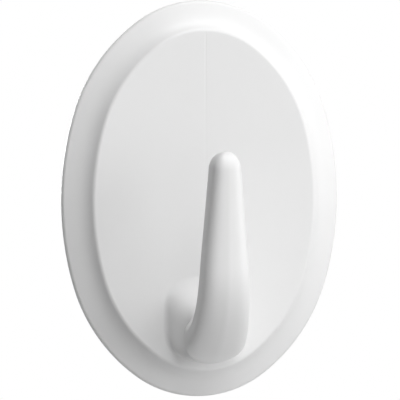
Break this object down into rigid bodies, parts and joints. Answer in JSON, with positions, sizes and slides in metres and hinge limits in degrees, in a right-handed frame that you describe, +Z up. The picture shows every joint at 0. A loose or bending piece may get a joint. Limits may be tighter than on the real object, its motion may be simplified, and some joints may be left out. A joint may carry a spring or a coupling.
{
  "type": "adhesive wall hook",
  "caption": "Oval moulded wall hook whose tapered tongue curves out and up, held to a flat wall by a coated foam pad under a peel-off release liner.",
  "frame": {"origin": "centre of the oval, on the wall plane that the release liner's back lies in", "axes": "+Z up, +X to the right of someone who faces the wall, -Y out from the wall along the hook's reach"},
  "size_m": [0.0442, 0.0189, 0.062],
  "materials": {
    "moulding": "white, satin gloss",
    "adhesive": "milky acrylic coat",
    "foam": "closed-cell foam, matt",
    "liner": "siliconed paper"
  },
  "bodies": {
    "hook": {"hook_plate": "moulding", "front_adhesive": "adhesive", "foam_core": "foam", "wall_adhesive": "adhesive"},
    "liner": {"release_liner": "liner"}
  },
  "joints": [
    {"name": "liner_peel", "type": "slide", "parent": "hook", "child": "liner", "axis": [0, 1, 0], "range_m": [0, 0.05]}
  ]
}
